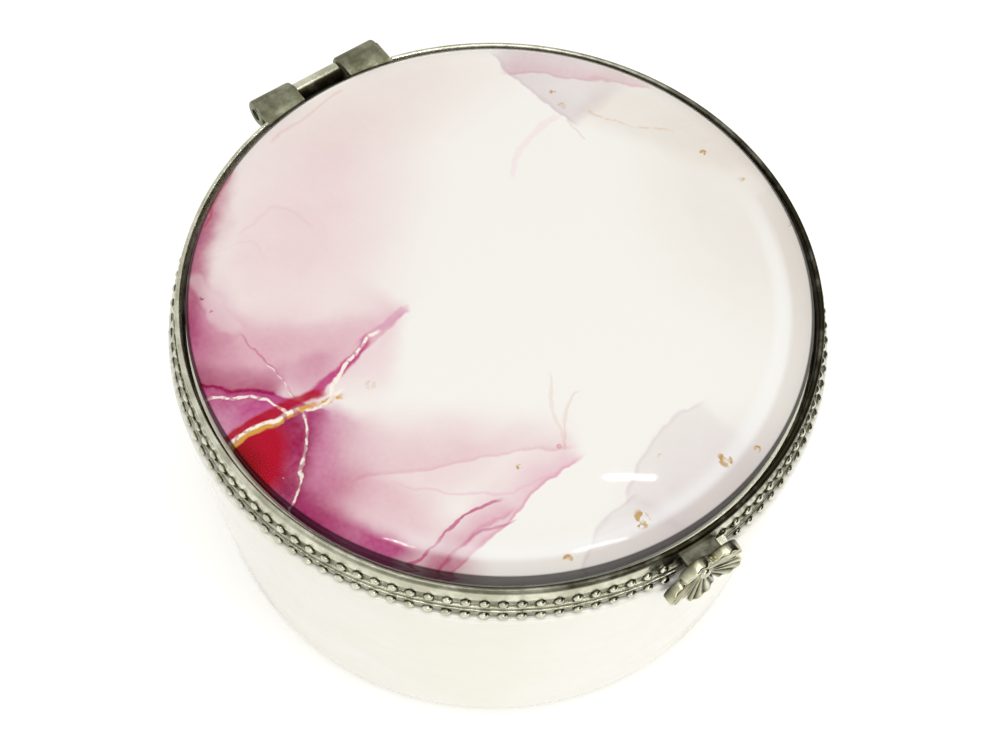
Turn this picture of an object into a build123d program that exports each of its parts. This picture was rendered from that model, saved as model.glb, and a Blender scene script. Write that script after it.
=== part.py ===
from build123d import *
import os
from math import asin, atan, ceil, cos, degrees, floor, pi, radians

# A round keepsake box for a rosary: a glazed porcelain bowl with a hinged lid.
# Millimetres. The origin is the middle of the foot and +Z is up.
# The hinge is at +Y. The flower clasp is at the front, -Y, turned a little round from the middle.

# ---- porcelain bowl ----
body_top_radius = 32.1
foot_setback = 1.6
shoulder_height = 32.4
shoulder_round = 0.45
body_corner = 4.0
bowl_draft = 0.9
floor_thickness = 3.8
inner_corner = 4.5
foot_width = 2.4
foot_depth = 0.9
shoulder_width = 1.3
neck_height = 1.0
neck_wall = 2.5

# ---- metal ring on the bowl ----
cement_gap = 0.05
base_ring_wall = 0.45
base_flange = 0.5
base_lip = 0.35
base_lip_depth = 1.2

# ---- metal ring of the lid ----
lid_skirt_height = 1.95
lid_skirt_setback = 1.1
lid_skirt_slope = 0.15
lid_lip_width = 0.6
lid_crown_height = 0.65
lip_round_share = 0.48
lid_ledge = 1.45
lid_ledge_thickness = 0.5
strip_seat = 0.2

# ---- rows of small beads round both rings ----
bead_spacing = 1.65
bead_radius = 0.49
bead_sides = 6
bead_taper = 26
bead_dome = 0.85
strip_margin = 0.02
lower_row_height = 0.6

# ---- what the lid carries ----
plate_thickness = 0.5
plate_clearance = 0.25
print_thickness = 0.2
print_margin = 0.05
glass_gap = 0.45
glass_edge = 1.65
glass_rise = 1.2
bevel_width = 3.1
bevel_round = 3.0
glass_rim_round = 0.35

# ---- hinge ----
hinge_length = 15.0
knuckle_radius = 1.45
middle_knuckle = 5.3
knuckle_gap = 0.12
hinge_overhang = 0.25
hinge_rise = 1.0
pin_radius = 0.6
pin_recess = 0.5
pin_running_gap = 0.05
hinge_clearance = 0.2
leaf_thickness = 0.6
window_clearance = 0.15
base_leaf_inset = 0.8
base_leaf_depth = 0.75

# ---- clasp ----
clasp_turn = 3.0
petal_count = 5
petal_turn = 48
petal_centre = 2.55
petal_radius = 1.63
petal_root = 1.2
flower_middle = 0.45
petal_lift = 0.75
petal_edge_round = 0.25
rib_grooves = 3
rib_spread = 15
rib_width = 0.4
rib_depth = 0.16
flower_drop = 0.7
flower_gap = 0.3
tab_width = 3.4
tab_thickness = 0.4
tab_top = 0.65
tab_foot = 0.65
rivet_radius = 0.35
rivet_head_radius = 0.6
rivet_head_height = 0.4
rivet_tail_radius = 0.45
rivet_tail = 0.2
seat_margin = 0.05
catch_width = 2.6
catch_height = 0.25
catch_round = 0.1
catch_top_gap = 0.05
catch_gap = 0.05

# ---- levels, each worked out from the sizes above ----
neck_top = shoulder_height + neck_height
parting = neck_top + base_flange
lower_row = shoulder_height + lower_row_height
strip_height = 2 * (bead_radius + strip_margin)
upper_row = parting + strip_height / 2
ledge_top = parting + lid_ledge_thickness
plate_top = ledge_top + plate_thickness
glass_bottom = plate_top + print_thickness
glass_edge_height = glass_bottom + glass_edge
skirt_top = parting + lid_skirt_height
crown_top = skirt_top + lid_crown_height
hinge_height = parting + hinge_rise
leaf_top = hinge_height + knuckle_radius
base_leaf_length = hinge_length - 2 * base_leaf_inset

# ---- radii, each worked out from the bowl's top radius and the sizes above ----
body_foot_radius = body_top_radius - foot_setback
neck_radius = body_top_radius - shoulder_width
mouth_radius = neck_radius - neck_wall
base_ring_inner = neck_radius + cement_gap
base_ring_outer = base_ring_inner + base_ring_wall
lid_skirt_radius = body_top_radius - lid_skirt_setback
lid_shoulder_radius = lid_skirt_radius - lid_skirt_slope
lid_bore = lid_shoulder_radius - lid_lip_width
glass_radius = lid_bore - glass_gap
plate_radius = lid_bore - plate_clearance
print_radius = glass_radius - print_margin
ledge_radius = glass_radius - lid_ledge
strip_seat_radius = lid_skirt_radius - strip_seat
lower_row_radius = base_ring_outer + strip_seat
hinge_reach = body_top_radius + hinge_overhang
flower_reach = body_top_radius + flower_gap
knuckle_half = middle_knuckle / 2
tab_back = flower_reach - tab_thickness
leaf_half_angle = degrees(asin(hinge_length / 2 / lower_row_radius))
bead_count = round(2 * pi * lower_row_radius / bead_spacing)
bead_pitch = 360 / bead_count
clasp_angle = -90 - clasp_turn
clasp_half_gap = degrees(asin((tab_width / 2 + bead_radius) / lower_row_radius))
hinge_half_gap = leaf_half_angle


def turned(corners, rounds=()):
    """A solid of revolution about Z, from corners given as radius and height."""
    outline = make_face(Polyline(*corners, close=True))
    for corner, radius in rounds:
        outline = fillet(outline.vertices().sort_by_distance((*corner, 0))[0], radius)
    return revolve(Plane.XZ * outline, Axis.Z)


def block(x_size, y_from, y_to, z_from, z_to):
    """A block centred across X, between two depths and two heights."""
    middle = Pos(0, (y_from + y_to) / 2, (z_from + z_to) / 2)
    return middle * Box(x_size, y_to - y_from, z_to - z_from)


def bar_along_x(radius, x_from, x_to, y, z):
    """A round bar along X."""
    middle = Pos((x_from + x_to) / 2, y, z)
    return middle * Rot(0, 90, 0) * Cylinder(radius, x_to - x_from)


def front_plane(reach, height):
    """A drawing plane that faces outwards at the front: X to the right and Y up."""
    return Plane(origin=(0, -reach, height), x_dir=(1, 0, 0), z_dir=(0, -1, 0))


def bowl():
    """Porcelain bowl: tapered wall, rounded foot corner, foot ring and a stepped neck."""
    inner_foot = mouth_radius - bowl_draft
    outside = turned(
        [(0, 0), (body_foot_radius, 0), (body_top_radius, shoulder_height),
         (neck_radius, shoulder_height), (neck_radius, neck_top), (0, neck_top)],
        [((body_foot_radius, 0), body_corner),
         ((body_top_radius, shoulder_height), shoulder_round)])
    inside = turned(
        [(0, floor_thickness), (inner_foot, floor_thickness), (mouth_radius, neck_top),
         (mouth_radius, neck_top + 1), (0, neck_top + 1)],
        [((inner_foot, floor_thickness), inner_corner)])
    foot_inner = body_foot_radius - body_corner - foot_width
    recess = turned(
        [(0, -1), (foot_inner, -1), (foot_inner, 0), (foot_inner - foot_depth, foot_depth), (0, foot_depth)])
    return outside - inside - recess


def base_ring():
    """Ring cemented over the bowl's neck, with a flat top and a short lip inside the mouth."""
    lip_inner = mouth_radius - cement_gap - base_lip
    ring = turned(
        [(base_ring_inner, shoulder_height), (base_ring_outer, shoulder_height),
         (base_ring_outer, parting), (lip_inner + base_lip, parting), (lip_inner, parting - base_lip),
         (lip_inner, neck_top - base_lip_depth), (lip_inner + base_lip, neck_top - base_lip_depth),
         (lip_inner + base_lip, neck_top), (base_ring_inner, neck_top)])
    reach = hinge_length / 2 + hinge_clearance
    relief = bar_along_x(knuckle_radius + hinge_clearance, -reach, reach, hinge_reach, hinge_height)
    return ring - relief


def lid_ring_blank():
    """Turned lid ring: ledge for the stack, sloping skirt and a half-round lip beside the glass."""
    lip_round = (lid_shoulder_radius - lid_bore) * lip_round_share
    return turned(
        [(ledge_radius, parting), (strip_seat_radius, parting),
         (strip_seat_radius, upper_row + strip_height / 2),
         (lid_skirt_radius, upper_row + strip_height / 2),
         (lid_shoulder_radius, skirt_top), (lid_shoulder_radius, crown_top),
         (lid_bore, crown_top), (lid_bore, ledge_top), (ledge_radius, ledge_top)],
        [((lid_shoulder_radius, crown_top), lip_round), ((lid_bore, crown_top), lip_round)])


def lid_ring():
    """Lid ring with the notch that its hinge leaf is let into and the window of the middle knuckle."""
    notch = block(hinge_length, 0, hinge_reach, leaf_top - leaf_thickness, crown_top + 1)
    return lid_ring_blank() - lid_leaf_plate() - knuckle_sweep() - notch


def knuckle_sweep():
    """The room that the middle knuckle needs as the lid turns about it."""
    reach = knuckle_half + window_clearance
    return bar_along_x(knuckle_radius + hinge_clearance, -reach, reach, hinge_reach, hinge_height)


def window():
    """The gap in the lid's leaf and lip in front of the middle knuckle."""
    return block(middle_knuckle + 2 * window_clearance, lid_bore - 1, hinge_reach + knuckle_radius + 1,
                 leaf_top - leaf_thickness, crown_top + 1)


def lid_leaf_plate():
    """Flat of the lid's hinge leaf, from the glass to the barrel, joined by a web under the window."""
    flat = block(hinge_length, 0, hinge_reach, leaf_top - leaf_thickness, leaf_top)
    low = leaf_top - 2 * leaf_thickness
    web = block(middle_knuckle + 4 * leaf_thickness, 0, lid_skirt_radius, low, leaf_top - leaf_thickness)
    glass_space = Pos(0, 0, leaf_top) * Cylinder(lid_bore, leaf_thickness * 6)
    return (flat - window()) + (web - knuckle_sweep()) - glass_space


def lid_hinge_leaf():
    """Lid leaf with the two outer knuckles rolled round the pin."""
    half = hinge_length / 2
    start = knuckle_half + knuckle_gap
    leaf = lid_leaf_plate()
    for side in (-1, 1):
        ends = sorted((side * start, side * half))
        leaf = leaf + bar_along_x(knuckle_radius, *ends, hinge_reach, hinge_height)
    bore = bar_along_x(pin_radius + pin_running_gap, -half - 1, half + 1, hinge_reach, hinge_height)
    return leaf - bore - (lid_ring_blank() - lid_leaf_plate())


def base_hinge_leaf():
    """Base leaf: a low foot on the ring's wall, and a neck that carries the middle knuckle."""
    foot_top = hinge_height - knuckle_radius - hinge_clearance
    foot = block(base_leaf_length, 0, base_ring_outer + base_leaf_depth, shoulder_height, foot_top)
    neck = block(middle_knuckle, 0, hinge_reach, shoulder_height, hinge_height)
    knuckle = bar_along_x(knuckle_radius, -knuckle_half, knuckle_half, hinge_reach, hinge_height)
    bore = bar_along_x(pin_radius, -knuckle_half - 1, knuckle_half + 1, hinge_reach, hinge_height)
    ring_space = Pos(0, 0, parting / 2) * Cylinder(base_ring_outer, parting)
    above = block(middle_knuckle + 2, 0, base_ring_outer, parting, hinge_height + knuckle_radius)
    return foot + (neck - above) + knuckle - bore - ring_space


def hinge_pin():
    """Straight pin, held in the middle knuckle and a little short of the barrel's ends."""
    half = hinge_length / 2 - pin_recess
    return bar_along_x(pin_radius, -half, half, hinge_reach, hinge_height)


def beaded_run(row_radius, seat_radius, row_height, start, end):
    """One run of beaded strip between two angles round Z: a flat link behind each bead."""
    first = ceil(start / bead_pitch + 0.5)
    last = floor(end / bead_pitch - 0.5)
    corner_radius = row_radius / cos(radians(bead_pitch / 2))
    corners = [Vector(corner_radius, 0).rotate(Axis.Z, (number - 0.5) * bead_pitch)
               for number in range(first, last + 2)]
    links = make_face(Polyline((0, 0), *corners, close=True)) - Circle(seat_radius)
    strip = Pos(0, 0, row_height - strip_height / 2) * extrude(links, strip_height)
    sink = (row_radius - seat_radius) / 2
    bead = extrude(RegularPolygon(bead_radius, bead_sides), sink + bead_radius * bead_dome, taper=bead_taper)
    seat = Pos(row_radius - sink, 0, row_height) * Rot(0, 90, 0)
    return strip + [Rot(0, 0, number * bead_pitch) * seat * bead for number in range(first, last + 1)]


def beading(row_radius, seat_radius, row_height):
    """A row of beads in two runs, from the clasp round to the hinge on each side."""
    clasp_side = clasp_angle + clasp_half_gap
    far_side = 360 + clasp_angle - clasp_half_gap
    return [beaded_run(row_radius, seat_radius, row_height, clasp_side, 90 - hinge_half_gap),
            beaded_run(row_radius, seat_radius, row_height, 90 + hinge_half_gap, far_side)]


def base_beading():
    """Beads round the ring of the bowl."""
    return beading(lower_row_radius, base_ring_outer, lower_row)


def lid_beading():
    """Beads round the skirt of the lid ring."""
    return beading(lid_skirt_radius, strip_seat_radius, upper_row)


def lid_plate():
    """Backing plate that closes the lid from inside and lies on the ring's ledge."""
    return turned([(0, ledge_top), (plate_radius, ledge_top), (plate_radius, plate_top), (0, plate_top)])


def print_disc():
    """Printed card between the backing plate and the glass."""
    return turned([(0, plate_top), (print_radius, plate_top), (print_radius, glass_bottom),
                   (0, glass_bottom)])


def glass_top():
    """Clear glass cabochon with a flat top and a rounded bevel."""
    flat_radius = glass_radius - bevel_width
    top = glass_edge_height + glass_rise
    return turned(
        [(0, glass_bottom), (glass_radius, glass_bottom), (glass_radius, glass_edge_height),
         (flat_radius, top), (0, top)],
        [((flat_radius, top), bevel_round), ((glass_radius, glass_edge_height), glass_rim_round)])


def petal(height):
    """One petal: a round end with its top edge taken off, and straight sides to the flower's middle."""
    end = Pos(petal_centre, 0, height / 2) * Cylinder(petal_radius, height)
    end = chamfer(end.edges().sort_by(Axis.Z)[-1], petal_edge_round)
    side = Polyline((0, -petal_root / 2), (petal_centre, -petal_radius), (petal_centre, petal_radius),
                    (0, petal_root / 2), close=True)
    return end + extrude(make_face(side), height - petal_edge_round)


def at_clasp(shape):
    """Turns a shape made at -Y round to the clasp's own place."""
    return Rot(0, 0, -clasp_turn) * shape


def clasp_flower():
    """Cast flower: five cupped petals, each with grooves that fan out from the middle."""
    tip = petal_centre + petal_radius
    full = flower_middle + petal_lift
    petals = [Rot(0, 0, petal_turn + number * 360 / petal_count) * petal(full)
              for number in range(petal_count)]
    blank = petals[0] + petals[1:]
    seat = rivet_head_radius + seat_margin
    slope = petal_lift / (tip - seat)
    cup = turned([(0, flower_middle), (seat, flower_middle), (tip + 1, full + slope),
                  (tip + 1, full + 2), (0, full + 2)])
    rise = flower_middle + rib_width / 2 ** 0.5 - rib_depth
    groove = Pos(seat, 0, rise) * Rot(0, -degrees(atan(slope)), 0) * Pos(tip / 2, 0, 0)
    groove = groove * Rot(45, 0, 0) * Box(tip, rib_width, rib_width)
    fans = [petal_turn + number * 360 / petal_count + (row - (rib_grooves - 1) / 2) * rib_spread
            for number in range(petal_count) for row in range(rib_grooves)]
    grooves = [Rot(0, 0, fan) * groove for fan in fans]
    hole = Cylinder(rivet_radius, 6 * full)
    flower = blank - cup - grooves - hole
    return at_clasp(front_plane(flower_reach, parting - flower_drop) * flower)


def clasp_tab():
    """Bent strip from the lid's skirt out and down behind the flower."""
    top = skirt_top - tab_top
    arm = block(tab_width, -flower_reach, -lid_bore, top - tab_thickness, top)
    foot = parting - flower_drop - tab_foot
    drop = block(tab_width, -flower_reach, -tab_back, foot, top)
    hole = front_plane(tab_back, parting - flower_drop) * Cylinder(rivet_radius, 4 * tab_thickness)
    return at_clasp(arm + drop - hole - lid_ring_blank())


def dome(radius, height):
    """A low dome that stands on the drawing plane."""
    ball = (radius ** 2 + height ** 2) / (2 * height)
    return Pos(0, 0, height - ball) * Sphere(ball) & Pos(0, 0, ball) * Box(*3 * [2 * ball])


def clasp_rivet():
    """Rivet whose head is the flower's middle and whose tail is the bump that snaps past the catch."""
    stack = tab_thickness + flower_middle
    head = Pos(0, 0, stack) * dome(rivet_head_radius, rivet_head_height)
    shank = Pos(0, 0, stack / 2) * Cylinder(rivet_radius, stack)
    tail = Pos(0, 0, -rivet_tail / 2) * Cone(rivet_tail_radius - rivet_tail, rivet_tail_radius, rivet_tail)
    return at_clasp(front_plane(tab_back, parting - flower_drop) * (head + shank + tail))


def catch_lug():
    """Low bar on the bowl's ring, just above the rivet's tail while the box is shut."""
    top = parting - catch_top_gap
    reach = tab_back - rivet_tail - catch_gap
    bar = block(catch_width, -reach, 0, top - catch_height, top)
    bar = fillet(bar.edges().filter_by(Axis.X).sort_by(Axis.Y)[:2], catch_round)
    return at_clasp(bar - Pos(0, 0, parting / 2) * Cylinder(base_ring_outer, 2 * parting))


pieces = {
    "bowl": bowl(),
    "base_ring": base_ring(),
    "base_beading": base_beading(),
    "base_hinge_leaf": base_hinge_leaf(),
    "hinge_pin": hinge_pin(),
    "catch_lug": catch_lug(),
    "lid_ring": lid_ring(),
    "lid_beading": lid_beading(),
    "lid_hinge_leaf": lid_hinge_leaf(),
    "lid_plate": lid_plate(),
    "print_disc": print_disc(),
    "glass_top": glass_top(),
    "clasp_tab": clasp_tab(),
    "clasp_flower": clasp_flower(),
    "clasp_rivet": clasp_rivet(),
}

os.makedirs("parts", exist_ok=True)
for name, piece in pieces.items():
    solids = []
    for shape in piece if isinstance(piece, list) else [piece]:
        solids.extend(shape.solids())
    export_step(Compound(children=solids) if len(solids) > 1 else solids[0], f"parts/{name}.step")
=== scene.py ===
from math import pi, radians

import bmesh
import bpy
import numpy as np
from mathutils import Matrix, Vector


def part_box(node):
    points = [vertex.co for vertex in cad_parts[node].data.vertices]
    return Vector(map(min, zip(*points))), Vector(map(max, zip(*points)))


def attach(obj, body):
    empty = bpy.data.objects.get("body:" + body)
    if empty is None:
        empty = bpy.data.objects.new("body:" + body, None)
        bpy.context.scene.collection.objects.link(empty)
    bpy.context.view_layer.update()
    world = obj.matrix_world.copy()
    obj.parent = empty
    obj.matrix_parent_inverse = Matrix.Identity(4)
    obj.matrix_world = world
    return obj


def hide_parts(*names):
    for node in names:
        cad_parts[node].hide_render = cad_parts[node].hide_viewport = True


# A round keepsake box for a rosary: glazed porcelain bowl, beaded metal rims, hinged lid, print under glass.
# Sizes are in millimetres in every settings dictionary, and become metres where a mesh is made.

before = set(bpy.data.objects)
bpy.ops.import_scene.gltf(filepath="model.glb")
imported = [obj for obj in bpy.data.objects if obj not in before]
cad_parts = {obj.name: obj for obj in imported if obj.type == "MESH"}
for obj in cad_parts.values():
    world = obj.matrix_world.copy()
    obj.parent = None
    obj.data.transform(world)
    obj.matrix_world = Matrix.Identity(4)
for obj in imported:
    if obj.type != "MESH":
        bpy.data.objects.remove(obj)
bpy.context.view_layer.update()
print("frame loaded")

mm = 0.001


def top(node):
    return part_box(node)[1].z / mm


def bottom(node):
    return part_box(node)[0].z / mm


def halfWidth(node):
    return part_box(node)[1].x / mm


# heights and radii that the pieces share, read from the frame
level = {
    "neckTop": top("bowl"),
    "parting": top("base_ring"),
    "ledge": bottom("lid_plate"),
    "printTop": top("print_disc"),
    "glassTop": top("glass_top"),
    "crown": top("lid_ring"),
    "hinge": (top("hinge_pin") + bottom("hinge_pin")) / 2,
}
reach = {
    "body": halfWidth("bowl"),
    "glass": halfWidth("glass_top"),
    "skirt": halfWidth("lid_ring"),
    "baseRing": halfWidth("base_ring"),
    "print": halfWidth("print_disc"),
    "hinge": (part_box("hinge_pin")[0].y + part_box("hinge_pin")[1].y) / 2 / mm,
}


def turned(first, second, angle):
    # two directions at a right angle, both turned from the first towards the second
    cosine, sine = np.cos(angle), np.sin(angle)
    return first * cosine + second * sine, second * cosine - first * sine


def placed(name, data):
    # a new object in the scene
    thing = bpy.data.objects.new(name, data)
    bpy.context.scene.collection.objects.link(thing)
    return thing


cameraSettings = {
    "azimuth": -39.6,  # degrees round from the front, to the left
    "elevation": 57.78,
    "distance": 145.94,
    "aimHeight": 33.0,
    "yaw": 0.131,  # small turns away from the aim
    "pitch": -2.555,
    "roll": 3.806,
    "focalPixels": 1500.0,
    "imageWidth": 999.0,
}


def makeCamera(s):
    a, e = radians(s["azimuth"]), radians(s["elevation"])
    back = Vector((np.sin(a) * np.cos(e), -np.cos(a) * np.cos(e), np.sin(e)))
    look = -back
    right = Vector((np.cos(a), np.sin(a), 0))
    up = right.cross(look)
    look, right = turned(look, right, radians(s["yaw"]))
    look, up = turned(look, up, radians(s["pitch"]))
    right, up = turned(right, up, radians(s["roll"]))
    data = bpy.data.cameras.new("camera")
    data.sensor_width = 36.0
    data.lens = s["focalPixels"] / s["imageWidth"] * data.sensor_width
    data.clip_start = 0.01
    cam = placed("camera", data)
    turn = Matrix((right, up, -look)).transposed().to_4x4()
    place = Vector((0, 0, s["aimHeight"] * mm)) + back * s["distance"] * mm
    cam.matrix_world = Matrix.Translation(place) @ turn
    bpy.context.scene.camera = cam


makeCamera(cameraSettings)
print("camera placed")


def gridFaces(rows, columns, wrapRows=False, wrapColumns=False):
    # four neighbours of each cell, wound so that a grid whose rows go out and up and whose columns go
    # anticlockwise faces outwards
    i, j = np.meshgrid(np.arange(rows if wrapRows else rows - 1),
                       np.arange(columns if wrapColumns else columns - 1), indexing="ij")
    nextRow, nextColumn = (i + 1) % rows, (j + 1) % columns
    cells = (i * columns + j, i * columns + nextColumn, nextRow * columns + nextColumn, nextRow * columns + j)
    return np.stack(cells, -1).reshape(-1, 4).tolist()


def endedFaces(rows, columns):
    # the faces of a closed outline carried along its columns, with a flat face at each end
    start = np.arange(rows) * columns
    return gridFaces(rows, columns, True) + [start.tolist(), (start[::-1] + columns - 1).tolist()]


def joined(*parts):
    # several shells as one list of points and faces
    points, faces, count = [], [], 0
    for some, cells in parts:
        points.append(some)
        faces += [[corner + count for corner in cell] for cell in cells]
        count += len(some)
    return np.concatenate(points), faces


def unit(share):
    return np.clip(share, 0, 1)


def makePiece(name, points, faces, material, body, nodes, slot, crease=35.0, tarnishAndShade=None):
    # points in mm; doubled points at poles and seams are merged, then every shell is turned to face out.
    # the last argument says how dark the metal is at each point, or at all of them, 0 to 1: tarnish in the
    # relief, and painted shade and painted dark reflections
    mesh = bpy.data.meshes.new(name)
    mesh.from_pydata((points.reshape(-1, 3) * mm).tolist(), [], faces)
    if tarnishAndShade is not None:
        relief = mesh.attributes.new("tarnishAndShade", "FLOAT", "POINT")
        relief.data.foreach_set("value", np.resize(tarnishAndShade, len(mesh.vertices)).astype(np.float32))
    shell = bmesh.new()
    shell.from_mesh(mesh)
    bmesh.ops.remove_doubles(shell, verts=shell.verts, dist=2e-7)
    bmesh.ops.recalc_face_normals(shell, faces=shell.faces)
    shell.to_mesh(mesh)
    shell.free()
    mesh.validate()
    mesh.polygons.foreach_set("use_smooth", np.ones(len(mesh.polygons), bool))
    mesh.set_sharp_from_angle(angle=radians(crease))
    mesh.materials.append(material)
    piece = placed(name, mesh)
    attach(piece, body)
    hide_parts(*nodes)
    return piece


def roundedOutline(corners, steps=9):
    # straight runs through (across, up, round) corners. Each rounded corner is an arc whose ends lie
    # round / tan(half the corner's angle) along both runs, blended as sines of the share of its sweep
    points = [np.array([corners[0][:2]], float)]
    for before, here, after in zip(corners, corners[1:], corners[2:]):
        corner = np.array(here[:2], float)
        if here[2] <= 0:
            points.append(corner[None])
            continue
        back = np.array(before[:2]) - corner
        ahead = np.array(after[:2]) - corner
        back, ahead = back / np.linalg.norm(back), ahead / np.linalg.norm(ahead)
        half = np.arccos(back @ ahead) / 2
        middle = corner + (back + ahead) / np.linalg.norm(back + ahead) * here[2] / np.sin(half)
        start = corner + back * here[2] / np.tan(half) - middle
        end = corner + ahead * here[2] / np.tan(half) - middle
        sweep = pi - 2 * half
        share = np.linspace(0, 1, steps)[:, None]
        blend = np.sin((1 - share) * sweep) * start + np.sin(share * sweep) * end
        points.append(middle + blend / np.sin(sweep))
    points.append(np.array([corners[-1][:2]], float))
    return np.concatenate(points)


def turnedGrid(outline, angles):
    # x = radius * cos(angle), y = radius * sin(angle), z = height, for every outline point and angle
    radius, height = outline[:, :1], outline[:, 1:]
    return np.stack((radius * np.cos(angles), radius * np.sin(angles), height + 0 * angles), -1)


def turnedPiece(name, outline, around, material, body, nodes, slot, tarnishAndShade=None):
    # a whole turn of an outline that starts and ends on the axis, or closes on itself
    angles = np.linspace(0, 2 * pi, around, endpoint=False)
    faces = gridFaces(len(outline), around, outline[0, 0] > 0, True)
    return makePiece(name, turnedGrid(outline, angles), faces, material, body, nodes, slot, tarnishAndShade=tarnishAndShade)


def turnedStretch(outline, start, end, around):
    # part of a turn of a closed outline, between two angles in degrees, with a flat face at each end
    angles = np.radians(np.linspace(start, end, around))
    return turnedGrid(outline, angles).reshape(-1, 3), endedFaces(len(outline), around)


def linear(code):
    # an sRGB hex colour as linear light
    parts = np.array([int(code[i:i + 2], 16) for i in (1, 3, 5)]) / 255
    return (*np.where(parts <= 0.04045, parts / 12.92, ((parts + 0.055) / 1.055) ** 2.4), 1.0)


def add(tree, kind, values=(), out=0, **settings):
    # adds a node: settings are its own attributes, and values its inputs, each a value or a socket to link.
    # gives the output in use, or the one that out names
    node = tree.nodes.new("ShaderNode" + kind)
    for key, value in settings.items():
        setattr(node, key, value)
    for key, value in dict(values).items():
        if isinstance(value, bpy.types.NodeSocket):
            tree.links.new(value, node.inputs[key])
        else:
            node.inputs[key].default_value = value
    used = [socket for socket in node.outputs if socket.enabled]
    return node.outputs[out] if isinstance(out, str) else used[out] if used else node


# settings that many nodes share
smooth = {"interpolation_type": "SMOOTHSTEP"}
rgba = {"data_type": "RGBA"}
times = {"operation": "MULTIPLY"}
timesPlus = {"operation": "MULTIPLY_ADD"}


def newMaterial(name):
    # an empty material, its nodes, and the place on the object in mm, so that patterns have a real size
    material = bpy.data.materials.new(name)
    material.use_nodes = True
    tree = material.node_tree
    tree.nodes.clear()
    place = add(tree, "VectorMath", {0: add(tree, "TexCoord", out="Object"), 3: 1000.0}, operation="SCALE")
    return material, tree, place


def anyRay(tree, share, *rays):
    # a share that is also whole for these kinds of ray
    for ray in rays:
        share = add(tree, "Math", {0: share, 1: add(tree, "LightPath", out=ray)}, operation="MAXIMUM")
    return share


porcelainLook = {
    "glaze": "#f5f3e9",  # warm white under a clear glaze
    "shade": "#f1eee1",
    "bare": "#e9e3d3",  # unglazed biscuit on the foot
    "speck": "#d9d2bd",
    "poolSize": 14.0,  # mm between thicker and thinner glaze
    "ripple": 5.0,  # mm, the slight unevenness of a dipped glaze
    "speckSize": 0.9,
    "gritSize": 0.25,
    "footLine": 0.35,  # mm of the foot left unglazed
}


def glazedPorcelain(s):
    # dipped and fired porcelain: an even warm white, with a wet gloss that waves slightly and a matt foot
    material, tree, place = newMaterial("glazedPorcelain")
    pools = add(tree, "TexNoise", {"Vector": place, "Scale": 1 / s["poolSize"], "Detail": 3.0})
    specks = add(tree, "TexNoise", {"Vector": place, "Scale": 1 / s["speckSize"], "Detail": 2.0})
    shade = add(tree, "MapRange", {0: pools, 1: 0.4, 2: 0.66}, **smooth)
    speck = add(tree, "MapRange", {0: specks, 1: 0.7, 2: 0.8, 4: 0.25}, **smooth)
    height = add(tree, "SeparateXYZ", {0: place}, out="Z")
    bare = add(tree, "MapRange", {0: height, 1: s["footLine"] + 0.1, 2: s["footLine"] - 0.1}, **smooth)
    colour = linear(s["glaze"])
    for share, name in ((shade, "shade"), (speck, "speck"), (bare, "bare")):
        colour = add(tree, "Mix", {0: share, 6: colour, 7: linear(s[name])}, **rgba)
    ripple = add(tree, "TexNoise", {"Vector": place, "Scale": 1 / s["ripple"], "Detail": 1.0})
    grit = add(tree, "TexNoise", {"Vector": place, "Scale": 1 / s["gritSize"], "Detail": 2.0})
    grit = add(tree, "Math", {0: grit, 1: bare}, **times)
    relief = add(tree, "Bump", {"Height": ripple, "Strength": 0.15, "Distance": 0.0004})
    relief = add(tree, "Bump", {"Height": grit, "Strength": 0.3, "Distance": 0.0002, "Normal": relief})
    gloss = add(tree, "MapRange", {0: pools, 1: 0.3, 2: 0.7, 3: 0.09, 4: 0.16})
    rough = add(tree, "Math", {0: bare, 1: 0.55, 2: gloss}, **timesPlus)
    shader = add(tree, "BsdfPrincipled", {
        "Base Color": colour, "Roughness": rough, "IOR": 1.52, "Normal": relief, "Subsurface Weight": 0.12,
        "Subsurface Radius": (0.9, 0.8, 0.6), "Subsurface Scale": 0.001})
    add(tree, "OutputMaterial", {0: shader})
    return material


nickelLook = {
    "bright": "#dcdbc6",  # rubbed metal
    "dull": "#b5b49d",  # clouds of tarnish
    "tarnishAndShade": "#2b2719",  # old polish and tarnish left in the hollows, and the dark of painted shade and painted dark reflections
    "cloudSize": 2.5,  # mm across a cloud of tarnish
    "scratchSize": 0.35,
    "rough": 0.2,
    "dents": 0.25,
}


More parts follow.
